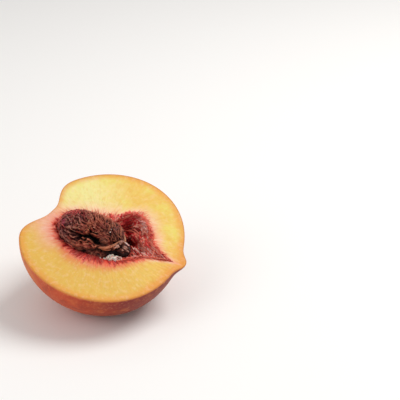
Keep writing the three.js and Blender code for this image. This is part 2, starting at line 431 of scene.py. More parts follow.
def shade(red, green, blue):
    """A colour given as it looks on a screen, from 0 to 255."""
    levels = [c / 255.0 for c in (red, green, blue)]
    return tuple((c / 12.92 if c <= 0.04045 else ((c + 0.055) / 1.055) ** 2.4) for c in levels) + (1.0,)


def finish(name):
    """A new, empty material and the wire that its nodes start from."""
    material = bpy.data.materials.new(name)
    material.use_nodes = True
    material.node_tree.nodes.clear()
    return material, Wire(material.node_tree)


def fact(start, name):
    """The values that a mesh keeps at its points under this name."""
    return start.node("ShaderNodeAttribute", {"attribute_name": name}, output="Fac")


def world_place(start):
    """Where a point is on the table, in metres, as every mesh has its origin at the table's."""
    return start.node("ShaderNodeTexCoord", output="Object")


def fruit_place(start):
    """Where a point is in the fruit's own frame, in metres from the middle of the cut face."""
    place = world_place(start).vector("SUBTRACT", tuple(cut_centre))
    turn = tuple(lying.transposed().to_euler("XYZ"))
    settings = {"rotation_type": "EULER_XYZ"}
    return start.node("ShaderNodeVectorRotate", settings, {"Vector": place, "Rotation": turn})


def grain(place, scale, detail=3.0, rough=0.6):
    """Cloudy noise from 0 to 1; scale is how many clouds there are to a metre."""
    sockets = {"Vector": place, "Scale": scale, "Detail": detail, "Roughness": rough}
    return place.node("ShaderNodeTexNoise", {}, sockets, "Fac")


flesh_lemon = shade(236, 226, 150)
flesh_gold = shade(232, 194, 94)
flesh_amber = shade(224, 182, 84)
flesh_orange = shade(230, 150, 62)
flesh_cream = shade(248, 208, 184)
flesh_peach = shade(216, 130, 78)
flesh_pink = shade(238, 172, 170)
crimson = shade(224, 60, 58)
crimson_dark = shade(172, 30, 36)
crimson_light = shade(235, 112, 84)
painted_shade_wine = shade(44, 4, 12)
flesh_green = shade(228, 220, 108)
painted_light_salmon = shade(248, 150, 132)
lemon_middle = (-0.020, 0.019, 0.0)
# Painted light: under the far rim of the open wall, which lies in shade, the crimson is painted
# paler, to salmon: from and to this far across.
far_rim = (0.0130, 0.0165)


def flesh_finish():
    material, start = finish("moist_flesh")
    place = fruit_place(start)
    axes = place.axes()
    from_hollow = fact(start, "from_hollow")
    from_rim = fact(start, "from_rim")
    from_stain = fact(start, "from_stain")
    dark = fact(start, "darkness")

    # Fibres run from the stone outwards, so their grain is drawn out along the spokes.
    flat_place = start.node("ShaderNodeCombineXYZ", {}, {"X": axes[0], "Y": axes[1], "Z": 0.0})
    spoke = start.node("ShaderNodeVectorMath", {"operation": "NORMALIZE"}, {0: flat_place})

    def strips(count, per_metre):
        widened = start.node("ShaderNodeVectorMath", {"operation": "SCALE"}, {0: spoke, "Scale": count})
        shift = start.node("ShaderNodeCombineXYZ", {}, {"Z": from_hollow * per_metre})
        return widened.vector("ADD", shift)

    streak = grain(strips(34.0, 180.0), 1.0, 4.0)
    hair = grain(strips(60.0, 240.0), 1.0, 2.0)
    cloud = grain(place, 110.0, 3.0, 0.5)
    speck = grain(place, 900.0, 2.0, 0.5)

    # Lemon near the stem, gold over the rest with greener patches on the far side, deeper on the
    # near side and orange under the skin.
    from_lemon = flat_place.away_from(lemon_middle)
    low_side = (0.0 - axes[1] + (cloud - 0.5) * 0.012).step(-0.004, 0.024)
    body = low_side.mixed(flesh_gold, flesh_amber)
    lemon = 1.0 - (from_lemon + (cloud - 0.5) * 0.012).step(0.003, 0.026)
    body = lemon.mixed(body, flesh_lemon)
    unripe = grain(place, 75.0, 2.0, 0.5).step(0.46, 0.66) * axes[1].step(-0.012, 0.004)
    body = (unripe * 0.55).mixed(body, flesh_green)
    under_skin = 1.0 - (from_rim + (streak - 0.5) * 0.002).step(0.0, 0.0046)
    body = (under_skin * 0.75).mixed(body, flesh_orange)
    tip_end = (axes[0] + (cloud - 0.5) * 0.008).step(0.030, 0.041)
    body = (tip_end * 0.8).mixed(body, flesh_orange)
    left_end = (0.0 - axes[0]).step(0.006, 0.020) * (0.004 - axes[1]).step(-0.004, 0.008)
    halo_reach = (axes[1] + left_end * 0.02).step(-0.004, 0.012) * 0.0040 + 0.0068
    halo_reach = (halo_reach + left_end * 0.0050) * (1.0 - axes[0].step(0.013, 0.026) * 0.4)
    near_stain = 1.0 - ((from_stain + (cloud - 0.5) * 0.008) / halo_reach).step(-0.15, 1.0)
    near_side = (0.0 - axes[1]).step(-0.002, 0.010)
    halo = near_side.mixed(flesh_cream, flesh_peach)
    halo = left_end.mixed(halo, flesh_pink)
    body = (near_stain * 0.85).mixed(body, halo)
    mottle = grain(place, 420.0)
    body = ((streak - 0.5) * 0.8 + (mottle - 0.5) * 1.0).clamped().mixed(body, flesh_orange)
    body = ((0.5 - streak) * 0.45 - (mottle - 0.5) * 1.2).clamped().mixed(body, flesh_cream)

    # The stain round the hollow, drawn out in hairs along the fibres.
    stain = 1.0 - (from_stain - (hair - 0.5) * 0.009 - (streak - 0.5) * 0.004).step(-0.0007, 0.0012)
    faint = 1.0 - (from_stain - (streak - 0.5) * 0.012).step(-0.0010, 0.0050)
    depth = (0.0 - axes[2]).step(0.0004, 0.0080)
    patch = grain(place, 620.0)
    near_edge = (near_side * 0.7 + 0.1) * (1.0 - from_stain.step(-0.0030, 0.0))
    red = (depth + near_edge + (hair - 0.5) * 0.9 + (patch - 0.5)).clamped()
    red = red.mixed(crimson_light, crimson)
    red = (depth * 0.8 * patch.step(0.42, 0.66)).mixed(red, crimson_dark)
    # Painted shade: along the two shade bands the wall is painted near-black wine.
    red = (dark * 0.9).mixed(red, painted_shade_wine)
    # Painted light: under the far rim, which lies in shade, the crimson is painted paler, to salmon.
    red = (axes[1].step(0.0142, 0.0170) * 0.95).mixed(red, painted_light_salmon)
    body = (faint * 0.42).mixed(body, crimson_light)
    colour = stain.mixed(body, red)

    start.surfaced(
        {
            "Base Color": colour,
            "Roughness": 0.46 - stain * 0.20 + (speck - 0.5) * 0.12,
            "IOR": 1.38,
            "Subsurface Weight": 0.3,
            "Subsurface Radius": (1.0, 0.55, 0.25),
            "Subsurface Scale": 0.0016,
            "Normal": (streak * 0.5 + speck * 0.25 + hair * stain * 1.2).bumped(0.35, 0.0004),
        }
    )
    return material


flesh.data.materials.append(flesh_finish())
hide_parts("flesh")
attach(flesh, "root")

# Skin. A thin leathery layer that grows over the whole rounded side, red-brown with yellow showing
# through near the stem and the seam, under a short down that whitens it where it turns away.

skin_columns, skin_rows, skin_return = 400, 100, 30
skin_bearings = np.arange(skin_columns) * 360.0 / skin_columns
outer_rises = np.arange(1, skin_rows + 1) * 90.0 / skin_rows
inner_rises = np.arange(skin_return, 0, -1) * 90.0 / skin_return
outer = skin_point(skin_bearings[None], outer_rises[:, None])
skin_inset = 0.98 * skin_thickness
inner = skin_point(skin_bearings[None], inner_rises[:, None], skin_inset)
skin_rings = np.concatenate([outer, inner])
skin_middles = [skin_point(0.0, 0.0, inset) for inset in (0.0, skin_inset)]
skin = wrapped_mesh("skin_shell", skin_middles[0], skin_rings, skin_middles[1], {}, 0.0)

skin_rust = shade(198, 74, 35)
skin_wine = shade(128, 34, 24)
skin_orange = shade(220, 126, 60)
skin_gold = shade(232, 184, 92)
skin_edge = shade(226, 142, 66)
skin_down = shade(226, 158, 112)
stem_hollow = (-0.0310, 0.0, -0.0040)


def skin_finish():
    material, start = finish("downy_skin")
    place = fruit_place(start)
    axes = place.axes()
    cloud = grain(place, 60.0, 4.0)
    blotch = grain(place, 180.0)
    fleck = grain(place, 700.0)
    uneven = (cloud - 0.5) * 0.030 + (blotch - 0.5) * 0.012

    # Orange on the stem's side, rust in the middle and wine red under the tip, in blotches.
    base = (axes[0] + uneven).step(0.002, 0.034).mixed(skin_rust, skin_wine)
    blush = (0.0 - axes[0] + uneven).step(-0.004, 0.030)
    base = (blush * 0.85).mixed(base, skin_orange)
    base = (blotch.step(0.50, 0.72) * 0.35).mixed(base, skin_wine)
    base = (blotch.step(0.50, 0.28) * 0.3).mixed(base, skin_orange)
    from_stem = place.away_from(stem_hollow) + (fleck - 0.5) * 0.006 + (cloud - 0.5) * 0.034
    stem = 1.0 - from_stem.step(0.0, 0.018)
    base = (stem * 0.75).mixed(base, skin_gold)
    dots = start.node("ShaderNodeTexVoronoi", {}, {"Vector": place, "Scale": 520.0}, output="Distance")
    base = ((1.0 - dots.step(0.06, 0.18)) * 0.2).mixed(base, skin_gold)
    base = (fleck.step(0.50, 0.80) * 0.35).mixed(base, skin_down)
    cut_edge = (axes[2] + (fleck - 0.5) * 0.0006).step(-0.0010, -0.0001)
    base = (cut_edge * 0.85).mixed(base, skin_edge)
    start.surfaced(
        {
            "Base Color": base,
            "Roughness": 0.62 + (fleck - 0.5) * 0.2,
            "Specular IOR Level": 0.35,
            "Sheen Weight": 0.12,
            "Sheen Roughness": 0.4,
            "Sheen Tint": shade(255, 206, 170),
            "Normal": fleck.bumped(0.25, 0.0003),
        }
    )
    return material


skin.data.materials.append(skin_finish())
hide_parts("flesh")
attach(skin, "root")

# Stone. The hard brown pit, broad at the stem and narrowed to a nose. A deep valley parts its cheek
# from its keel, ridges run on from the keel to the nose, and all of it is furrowed and pitted. It
# lies loose in its seat, cheek up, held by threads of flesh.

stone_length, stone_width, stone_thickness = stone_size
bluntness = 0.85
nose_start, nose_end, nose_pinch = 0.0075, 0.0140, 0.40
slim_start, slim_end, slimness = -0.006, 0.009, 0.2

# Each feature is a list of stations: how far along the stone, at what angle around it, half its
# width there and how much it stands out, or is cut in where that is below 0. Millimetres, degrees.
valley = (
    (-16.0, 142.0, 0.4, 0.0),
    (-12.0, 141.0, 0.5, -1.6),
    (-8.0, 139.0, 0.7, -2.2),
    (-4.0, 137.0, 1.0, -2.8),
    (-1.0, 132.5, 1.5, -3.4),
    (2.0, 130.5, 2.0, -4.0),
    (4.0, 134.0, 2.2, -4.4),
    (5.4, 141.0, 2.0, -3.8),
    (7.2, 142.0, 1.2, -2.2),
    (9.5, 132.0, 0.9, -1.2),
    (11.2, 115.0, 1.1, -0.8),
    (12.4, 95.0, 1.1, 0.0),
)
keel_lip = (
    (-7.0, 146.0, 0.4, 0.0),
    (-3.0, 143.0, 0.5, 0.6),
    (0.0, 141.0, 0.5, 0.9),
    (3.0, 143.0, 0.5, 0.9),
    (4.6, 150.0, 0.5, 0.0),
)
keel_groove = (
    (-10.0, 152.0, 0.4, 0.0),
    (-6.0, 153.0, 0.6, -0.9),
    (-2.0, 154.0, 0.6, -0.9),
    (1.0, 151.0, 0.6, -0.8),
    (4.0, 155.0, 0.4, 0.0),
)
keel_ridge = (
    (-14.5, 160.0, 0.5, 0.0),
    (-12.0, 158.0, 0.6, 0.6),
    (-8.0, 160.0, 0.5, 0.5),
    (-4.0, 162.0, 0.6, 0.6),
    (0.0, 161.0, 0.6, 0.7),
    (4.0, 160.0, 0.6, 0.8),
    (6.0, 157.0, 0.6, 0.9),
    (8.0, 150.0, 0.7, 1.0),
    (10.1, 140.0, 0.9, 1.0),
    (12.0, 121.0, 1.6, 0.9),
    (13.1, 88.0, 2.2, 0.8),
    (14.2, 60.0, 1.5, 0.0),
)
nose_lip = (
    (6.5, 160.0, 0.4, 0.0),
    (8.0, 158.0, 0.4, 0.7),
    (9.5, 156.0, 0.5, 0.8),
    (11.0, 151.0, 0.6, 0.8),
    (12.3, 141.0, 0.8, 0.7),
    (13.4, 128.0, 0.6, 0.0),
)
undercut = (
    (-14.0, 186.0, 1.0, 0.0),
    (-9.0, 187.0, 1.8, -1.0),
    (-3.0, 185.0, 2.2, -1.5),
    (1.0, 181.0, 2.4, -2.0),
    (4.0, 178.0, 2.4, -2.4),
    (7.0, 174.0, 2.2, -2.7),
    (10.0, 172.0, 2.2, -2.8),
    (14.0, 176.0, 2.4, -2.4),
    (17.0, 182.0, 1.4, 0.0),
)
features = (valley, keel_lip, keel_groove, keel_ridge, nose_lip, undercut)
# Knobs on the nose: how far along the stone, at what angle around it, their radius and height.
nose_knobs = (
    (13.1, 129.0, 0.9, 1.1),
    (15.5, 99.0, 0.9, 1.2),
    (15.4, 131.0, 0.8, 0.9),
    (14.2, 150.0, 0.7, 0.8),
    (12.0, 152.0, 0.7, 0.8),
    (17.0, 112.0, 0.6, 0.6),
)

# The grain turns round the cheek by so many degrees to a millimetre, and fades out round its sides.
twist_per_mm, twist_from, twist_level, twist_faded = 7.5, -9.0, 60.0, 130.0
twist_back, twist_back_faded = 330.0, 250.0
# The pits, the pocks between them, the thin seams and the fibres: their size across and along the
# grain, and how deep or high they are.
pit_across, pit_along, pit_depth = 0.0021, 0.0062, 0.0023
pock_across, pock_along, pock_depth = 0.0012, 0.0028, 0.0010
seam_across, seam_along, seam_height, seam_width = 0.0016, 0.0048, 0.0005, 0.2
fibre_across, fibre_along, fibre_height = 0.0003, 0.0016, 0.00012


def flowing(x, stations, column):
    """A smooth curve through one column of the stations."""
    places, values = np.array(stations)[:, 0], np.array(stations)[:, column]
    slopes = np.gradient(values, places)
    after = np.clip(np.searchsorted(places, x), 1, len(places) - 1)
    before = after - 1
    gap = places[after] - places[before]
    t = np.clip((x - places[before]) / gap, 0.0, 1.0)
    start = (1.0 + 2.0 * t) * (1.0 - t) ** 2 * values[before] + t * (1.0 - t) ** 2 * gap * slopes[before]
    return start + t**2 * (3.0 - 2.0 * t) * values[after] + t**2 * (t - 1.0) * gap * slopes[after]


def band(x, around, girth, stations):
    """How much a feature raises the stone at a place: x is in millimetres and girth in metres."""
    beside = past(around, flowing(x, stations, 1))
    beside = np.radians(beside) * girth * 1000.0
    width = np.maximum(0.2, flowing(x, stations, 2))
    inside = (x > stations[0][0]) & (x < stations[-1][0])
    return 0.001 * inside * flowing(x, stations, 3) * bell(beside, width)


def cells_of(points, seed):
    """How far each point is from the border of its cell, and a number from 0 to 1 for the cell."""
    gaps, marks = [], []
    for place in (points.reshape(-1, 3) + seed).tolist():
        distances, places = noise.voronoi(place)
        gaps.append(distances[1] - distances[0])
        marks.append(math.sin(places[0].dot((12.99, 78.23, 37.72))) * 43758.5 % 1.0)
    return np.array(gaps).reshape(points.shape[:-1]), np.array(marks).reshape(points.shape[:-1])


def stone_point(along, around):
    """A point of the smooth stone: along is 0 at the stem's end and 180 at the nose."""
    along, around = np.broadcast_arrays(np.asarray(along, float), np.asarray(around, float))
    x = -stone_length * np.cos(np.radians(along))
    narrowing = 1.0 - nose_pinch * eased(seat_x + x, nose_start, nose_end)
    slim = slimness * eased(x, slim_start, slim_end)
    girth = narrowing * np.sin(np.radians(along)) ** bluntness
    near_side = (around > 90.0) & (around < 270.0)
    y = stone_width * girth * np.cos(np.radians(around)) * np.where(near_side, 1.0 - slim, 1.0)
    z = stone_thickness * girth * np.sin(np.radians(around))
    return np.stack([x, y, z], axis=-1)


def drawn_out(point, around, across, along):
    """The point in a space where the stone's grain is even, turned with it on the cheek."""
    x = point[..., 0] * 1000.0
    upper = 1.0 - eased(around, twist_level, twist_faded)
    lower = eased(around, twist_back_faded, twist_back)
    turn = twist_per_mm * np.clip(x - twist_from, 0.0, None) * np.maximum(upper, lower)
    radius = np.hypot(point[..., 1], point[..., 2]) / across
    angle = np.radians(around - turn)
    return np.stack([radius * np.cos(angle), radius * np.sin(angle), point[..., 0] / along], axis=-1)


def outward_of(point):
    """Which way the smooth stone looks at a point."""
    outward = point / stone_size**2
    return outward / np.linalg.norm(outward, axis=-1)[..., None]


waver_degrees, waver_mm = 7.0, 0.8


def broad_form(point, around):
    """How far the broad features stand out, or are cut in where it is below 0, at a point of the
    smooth stone. They waver a little along their way."""
    girth = np.hypot(point[..., 1], point[..., 2])
    swayed = around + waver_degrees * roughness_of(point, 0.006, 7.0, 2)
    x = point[..., 0] * 1000.0 + waver_mm * roughness_of(point, 0.005, 9.0, 2)
    height = sum(band(x, swayed, girth, stations) for stations in features)
    for knob_x, knob_around, radius, knob_height in nose_knobs:
        beside = np.radians(past(around, knob_around)) * girth * 1000.0
        height = height + 0.001 * knob_height * bell(np.hypot(x - knob_x, beside), radius)
    return height


def stone_surface(along, around):
    """Points of the furrowed stone, with how open each place is, 0 in a pit and 1 on a crest, how
    far the broad features are cut in there, and where its thin seams stand out."""
    along, around = np.broadcast_arrays(np.asarray(along, float), np.asarray(around, float))
    point = stone_point(along, around)
    broad = broad_form(point, around)
    warp = np.stack([roughness_of(point, 0.0035, 41.0 + 3.0 * k, 2) for k in range(3)], axis=-1)
    pit_gap, pit_mark = cells_of(drawn_out(point, around, pit_across, pit_along) + 0.45 * warp, 5.0)
    pock_gap, pock_mark = cells_of(drawn_out(point, around, pock_across, pock_along) + 0.5 * warp, 9.0)
    fibre = roughness_of(drawn_out(point, around, fibre_across, fibre_along) + warp, 1.0, 3.0, 3)
    pit = eased(pit_gap, 0.02, 0.5) * (0.3 + 0.7 * pit_mark)
    pock = eased(pock_gap, 0.05, 0.45) * (0.2 + 0.8 * pock_mark)
    ends = np.sin(np.radians(along))
    seam_grain = drawn_out(point, around, seam_across, seam_along) + 0.4 * warp
    seam = bell(roughness_of(seam_grain, 1.0, 31.0, 2), seam_width)
    fine = pit_depth * pit + pock_depth * pock - fibre_height * fibre - seam_height * seam
    point = point + outward_of(point) * (broad - fine * ends)[..., None] + stone_middle
    return point, 1.0 - 0.6 * pit - 0.4 * pock + 0.15 * fibre, broad, seam


stone_columns, stone_rows = 420, 234
stone_arounds = np.arange(stone_columns) * 360.0 / stone_columns
stone_alongs = np.arange(1, stone_rows) * 180.0 / stone_rows
stone_rings, *stone_marks = stone_surface(stone_alongs[:, None], stone_arounds[None])
stone_ends = [stone_point(angle, 0.0) + stone_middle for angle in (0.0, 180.0)]
stone_facts = {
    name: np.concatenate([[mark[0].mean()], mark.ravel(), [mark[-1].mean()]])
    for name, mark in zip(("open", "broad", "seam"), stone_marks)
}
stone = wrapped_mesh("stone_pit", stone_ends[0], stone_rings, stone_ends[1], stone_facts)

wood_crest = shade(208, 124, 94)
wood_tan = shade(176, 76, 56)
wood_brown = shade(118, 34, 26)
wood_pit_and_shade = shade(30, 3, 3)
painted_shade_black = shade(12, 3, 4)
wood_purple = shade(92, 28, 36)
wood_dusty = shade(188, 130, 114)
wood_grey = shade(70, 46, 40)
wood_pale = shade(224, 170, 154)
wood_magenta = shade(176, 62, 92)
wood_olive = shade(138, 116, 44)
lobe_place, lobe_reach = (0.0066, -0.0078, 0.0052), 0.0034
# Wet spots: magenta by the stem and olive in the keel's hollow, each with its reach and share.
wood_spots = (
    ((-0.0153, -0.0065, 0.0047), 0.0018, 0.8, wood_magenta),
    ((0.0028, -0.0098, 0.0049), 0.0014, 0.6, wood_olive),
)
nose_shade_start, nose_shade_end = 0.006, 0.010


def stone_finish():
    material, start = finish("furrowed_wood")
    place = fruit_place(start)
    axes = place.axes()
    openness = fact(start, "open")
    broad = fact(start, "broad")
    seam = fact(start, "seam")
    cloud = grain(place, 260.0, 4.0)
    patch = grain(place, 120.0, 2.0, 0.5)
    fibre = grain(place, 1500.0)
    dome_end = axes[0].step(0.0, 0.008) * axes[1].step(-0.008, -0.004)
    # The stone darkens into its pits and lightens on its crests: its own browns, with the near black
    # deep in the pits partly painted shade.
    height = openness + (cloud - 0.5) * 0.4 + (fibre - 0.5) * 0.3 - dome_end * 0.22
    colour = height.step(0.48, 0.88).mixed(wood_pit_and_shade, wood_brown)
    stem_end = (0.0 - axes[0] + (patch - 0.5) * 0.02).step(0.0, 0.012)
    crest = stem_end.mixed(wood_crest, wood_dusty)
    colour = (stem_end * 0.6).mixed(colour, wood_purple)
    colour = (height.step(0.80, 1.15) * (0.8 - stem_end * 0.3)).mixed(colour, wood_tan)
    colour = (seam * height.step(0.50, 0.95) * (0.30 + patch)).clamped().mixed(colour, crest)
    colour = (broad.step(0.0003, 0.0010) * 0.4).mixed(colour, crest)
    off_lobe = place.away_from(lobe_place).step(0.4 * lobe_reach, lobe_reach)
    colour = ((1.0 - off_lobe) * 0.7).mixed(colour, wood_grey)
    # Painted shade: the tip of the nose is painted dark, and under the nose it is painted black, where
    # both lie in shade.
    nose = axes[0].step(nose_shade_start, nose_shade_end)
    nose_tip = axes[0].step(0.0105, 0.0125)
    colour = (nose_tip * 0.6).mixed(colour, wood_pit_and_shade)
    # Painted highlight: the tops of the knobs on the nose are painted pale.
    knob = nose_tip * broad.step(0.0003, 0.0008) * (height + (fibre - 0.5)).step(0.3, 0.8)
    colour = (knob * 0.9).mixed(colour, wood_pale)
    under_nose = nose * (0.0022 - axes[2]).step(0.0, 0.0016)
    colour = (under_nose * 0.85).mixed(colour, painted_shade_black)
    # Painted shade: where the broad features cut in, in the valley and the undercut, the stone is
    # painted black.
    colour = (0.0 - broad).step(0.0009, 0.0030).mixed(colour, painted_shade_black)
    for spot, reach, share, tint in wood_spots:
        off_spot = (place.away_from(spot) + (cloud - 0.5) * reach).step(0.3 * reach, reach)
        colour = ((1.0 - off_spot) * share).mixed(colour, tint)
    start.surfaced(
        {
            "Base Color": colour,
            "Roughness": 0.5 + (cloud - 0.5) * 0.4,
            "Specular IOR Level": 0.3,
            "Normal": fibre.bumped(0.5, 0.0003),
        }
    )
    return material


stone.data.materials.append(stone_finish())
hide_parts("stone")
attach(stone, "root")

# Strings. Thin wet threads of flesh, torn where the two halves were twisted apart. A fringe lies in
# clumps on the cut round the hollow, threads and broad shreds line the open wall, tufts and hairs
# stand off its edge, and a net of threads still clings to the stone.

chance = np.random.default_rng(11)


def thread_mesh(name, paths, widths, flatness, sides, ups, tones):
    """Joined tapered threads. A path has a point at each station of a thread, widths are its width
    there, ups say which way its flat side looks, and tones are a shade from 0 to 1 for each."""
    count, stations = paths.shape[:2]
    way = np.gradient(paths, axis=1)
    way /= np.linalg.norm(way, axis=-1)[..., None]
    aside = np.cross(way, ups)
    aside /= np.linalg.norm(aside, axis=-1)[..., None]
    above = np.cross(aside, way)
    angles = np.arange(sides) * 2.0 * math.pi / sides
    over = np.cos(angles)[:, None] * aside[:, 1:-1, None]
    up = flatness * np.sin(angles)[:, None] * above[:, 1:-1, None]
    rings = paths[:, 1:-1, None] + 0.5 * widths[:, 1:-1, None, None] * (over + up)
    points = np.concatenate([paths[:, :1], rings.reshape(count, -1, 3), paths[:, -1:]], axis=1)
    along = np.concatenate([[0.0], np.repeat(np.arange(1, stations - 1), sides), [stations - 1.0]])
    along = np.tile(along / (stations - 1.0), count)
    tone = np.repeat(tones, points.shape[1])
    faces = closed_faces(stations - 2, sides, count, turned_over=True)
    return joined_mesh(name, points.reshape(-1, 3), faces, {"along": along, "tone": tone})


def edge_bearings(count, weight):
    """Random bearings, spread evenly along the edge of the hollow and thinned by the weight."""
    step = np.arange(0.0, 360.0, 0.5)
    share = hollow_radius(step) * weight(step)
    return chance.choice(step, count, p=share / share.sum()) + chance.uniform(-0.3, 0.3, count)


def off_edge(bearing, away):
    """A point of the flesh at a distance from the hollow's edge: in the hollow below 0."""
    length = np.interp(bearing % 360.0, bearings, face_length, period=360.0)
    return on_flesh(bearing, 1.0 + away / np.where(away > 0.0, length, hollow_radius(bearing)))


# Most threads have this many stations, and t runs along them from 0 at the root to 1 at the tip.
stations = 8
t = np.linspace(0.0, 1.0, stations)[None]
straight_up = np.array([0.0, 0.0, 1.0])


def degrees_of(distance, bearing):
    """How far round the hollow a distance along its edge reaches."""
    return np.degrees(distance / hollow_radius(bearing))


def sway(size, turns, count):
    """How far to and fro each of count threads goes at its stations."""
    return size * np.sin(turns * t + chance.uniform(0.0, 6.0, (count, 1)))


def edge_strings(name, bearing, away, rise, widths, flatness, sides, tones):
    """Threads at the hollow's edge: away is how far from it they run, and rise how high."""
    paths = off_edge(bearing, away)
    paths[..., 2] += rise
    return thread_mesh(name, paths, widths, flatness, sides, straight_up, tones)


clump_count, clump_strings, long_share = 190, 9, 0.12
fringe_count = clump_count * clump_strings
clump_bearing = edge_bearings(clump_count, lambda b: 0.3 + 1000.0 * stain_reach(b) / 3.0)
clump_reach = stain_reach(clump_bearing) * chance.uniform(0.1, 1.15, clump_count) + 0.0004
long_clumps = chance.random(clump_count) < long_share
clump_reach = np.where(long_clumps, 1.5 * clump_reach, clump_reach)
clump_lean = degrees_of(chance.normal(0.0, 0.0009, clump_count), clump_bearing)
clump_rise = chance.uniform(0.0, 1.0, clump_count) ** 3 * 0.0008
clump_tone = chance.random(clump_count)
clump_of = np.repeat(np.arange(clump_count), clump_strings)
fringe_side = degrees_of(chance.uniform(-0.0008, 0.0008, fringe_count), clump_bearing[clump_of])
fringe_bearing = clump_bearing[clump_of][:, None] + fringe_side[:, None] * (1.0 - 0.75 * t)
fringe_bearing = fringe_bearing + clump_lean[clump_of][:, None] * t**1.4
fringe_root, fringe_widths = -0.0010, (0.00014, 0.00040)
fringe_reach = clump_reach[clump_of] * chance.uniform(0.55, 1.1, fringe_count)
fringe_away = fringe_root + (fringe_reach - fringe_root)[:, None] * t
fringe_rise = clump_rise[clump_of][:, None] * t**2 + 0.00003
fringe_width = chance.uniform(*fringe_widths, fringe_count)[:, None] * (1.0 - 0.8 * t)
fringe_tone = 0.05 + 0.42 * clump_tone[clump_of] + 0.26 * chance.random(fringe_count)
fringe_tone = fringe_tone + 0.25 * bell(turned(clump_bearing[clump_of], 68.0), 20.0)
fringe = edge_strings(
    "fringe_strings", fringe_bearing, fringe_away, fringe_rise, fringe_width, 0.5, 4, fringe_tone
)


def pocket_weight(bearing):
    """How thickly torn flesh hangs at a bearing: mostly on the open wall."""
    return 0.05 + bell(turned(bearing, pocket_bearing), 50.0, 4.0)


def clear_of_shade_bands(dark):
    """Which pieces are kept, from how much painted shade the wall has under each: most of those over
    the two painted shade bands are left out."""
    return chance.random(len(dark)) > 1.7 * dark


# How much paler the torn flesh under the far rim is painted: painted light.
far_rim_paler = 0.5


def wall_tone(places):
    """The shade of torn flesh at places on the wall: crimson, paler towards the narrow end, painted
    paler under the far rim, where the wall lies in shade (painted light), and painted dark along the two
    shade bands (painted shade)."""
    narrow_end = eased(places[:, 0] - 0.5 * places[:, 1], 0.008, 0.016)
    tone = 0.28 + (0.5 + 0.3 * narrow_end) * chance.random(len(places)) ** 1.1
    tone = tone + far_rim_paler * eased(places[:, 1], *far_rim)
    return tone * (1.0 - 0.75 * darkness(places))


wall_lean = -20.0


def wall_threads(name, count, runs_from, runs_long, drift, lift, curl, width, flatness):
    """Threads that lie along the wall of the hollow, leant round towards the fruit's tip. Each starts
    at a run and is so long, lifts off the wall at its middle and curls up at its tip, by amounts
    between the lowest and the highest given."""
    bearing = edge_bearings(count, pocket_weight)
    start = chance.uniform(*runs_from, count)
    end = np.minimum(1.03, start + chance.uniform(*runs_long, count))
    turn = chance.normal(wall_lean, drift, count)
    wave = sway(chance.normal(0.0, 1.5, (count, 1)), 7.0, count)
    way = bearing[:, None] + turn[:, None] * (t - 0.5) + wave
    paths = on_flesh(way, start[:, None] + (end - start)[:, None] * t)
    up = np.array([0.0, 0.0, 0.8]) - 0.6 * direction(bearing)
    rise = chance.uniform(*lift, (count, 1)) * np.sin(math.pi * t)
    rise = rise + chance.uniform(*curl, (count, 1)) * t**2.5 + 0.00005
    paths += up[:, None] * rise[..., None]
    taper = (0.3 + 0.7 * np.sin(math.pi * t**0.7)) * (1.0 + 0.4 * roughness_of(paths, 0.0008, 29.0, 2))
    widths = chance.uniform(*width, (count, 1)) * taper
    middle = paths.mean(axis=1)
    kept = clear_of_shade_bands(darkness(paths).mean(axis=1))
    tones = wall_tone(middle)
    return thread_mesh(name, paths[kept], widths[kept], flatness, 6, up[kept][:, None], tones[kept])


torn = wall_threads(
    name="torn_strings",
    count=800,
    runs_from=(0.45, 0.96),
    runs_long=(0.03, 0.16),
    drift=16.0,
    lift=(0.0, 0.0005),
    curl=(0.0, 0.0006),
    width=(0.00012, 0.00035),
    flatness=0.6,
)
shreds = wall_threads(
    name="torn_shreds",
    count=640,
    runs_from=(0.50, 0.96),
    runs_long=(0.03, 0.12),
    drift=20.0,
    lift=(0.0, 0.0007),
    curl=(0.0, 0.0011),
    width=(0.0004, 0.0012),
    flatness=0.5,
)

# Besides the tufts all round the open wall, some stand close together at its top and more on its
# near lip.
tuft_count, top_tufts, lip_tufts = 440, 32, 120
tuft_lengths, tuft_widths = (0.0010, 0.0028), (0.0002, 0.0006)
tuft_bearing = edge_bearings(tuft_count, lambda b: 0.05 + bell(turned(b, 34.0), 50.0, 4.0))
tuft_bearing[:top_tufts] = chance.normal(62.0, 4.0, top_tufts)
tuft_bearing[-lip_tufts:] = chance.uniform(330.0, 370.0, lip_tufts)
tuft_length = chance.uniform(*tuft_lengths, tuft_count)
over_furrow = bell(turned(tuft_bearing, 64.0), 16.0)
tuft_root = -chance.uniform(0.0002, 0.0030 - 0.0022 * over_furrow)
tuft_away = tuft_root[:, None] + tuft_length[:, None] * t
tuft_way = tuft_bearing[:, None] + chance.normal(0.0, 8.0, tuft_count)[:, None] * t**1.6
tuft_height = chance.uniform(0.1, 1.0, tuft_count)[:, None] ** 2 * 0.0014
tuft_rise = tuft_height * np.sin(math.pi * 0.6 * t) + 0.00008
tuft_width = chance.uniform(*tuft_widths, tuft_count)[:, None] * (1.0 - 0.8 * t**1.5)
tuft_tone = 0.14 + 0.25 * over_furrow + 0.7 * chance.random(tuft_count)
tufts = edge_strings("loose_tufts", tuft_way, tuft_away, tuft_rise, tuft_width, 0.6, 5, tuft_tone)

# Single hairs stand on the far edge, and thicker ones sweep out of the open wall over its far rim.
hair_count, sweep_count = 46, 14
hair_lengths, sweep_lengths = (0.0025, 0.0060), (0.0028, 0.0062)
hair_rises, sweep_rises = (0.0001, 0.0007), (0.0003, 0.0010)
hair_widths, sweep_widths = (0.00014, 0.00028), (0.00024, 0.0005)


def hairs_and_sweeps(hair_range, sweep_range):
    """A value for each hair and then for each sweep, drawn between the lowest and the highest."""
    drawn = [chance.uniform(*hair_range, hair_count), chance.uniform(*sweep_range, sweep_count)]
    return np.concatenate(drawn)[:, None]


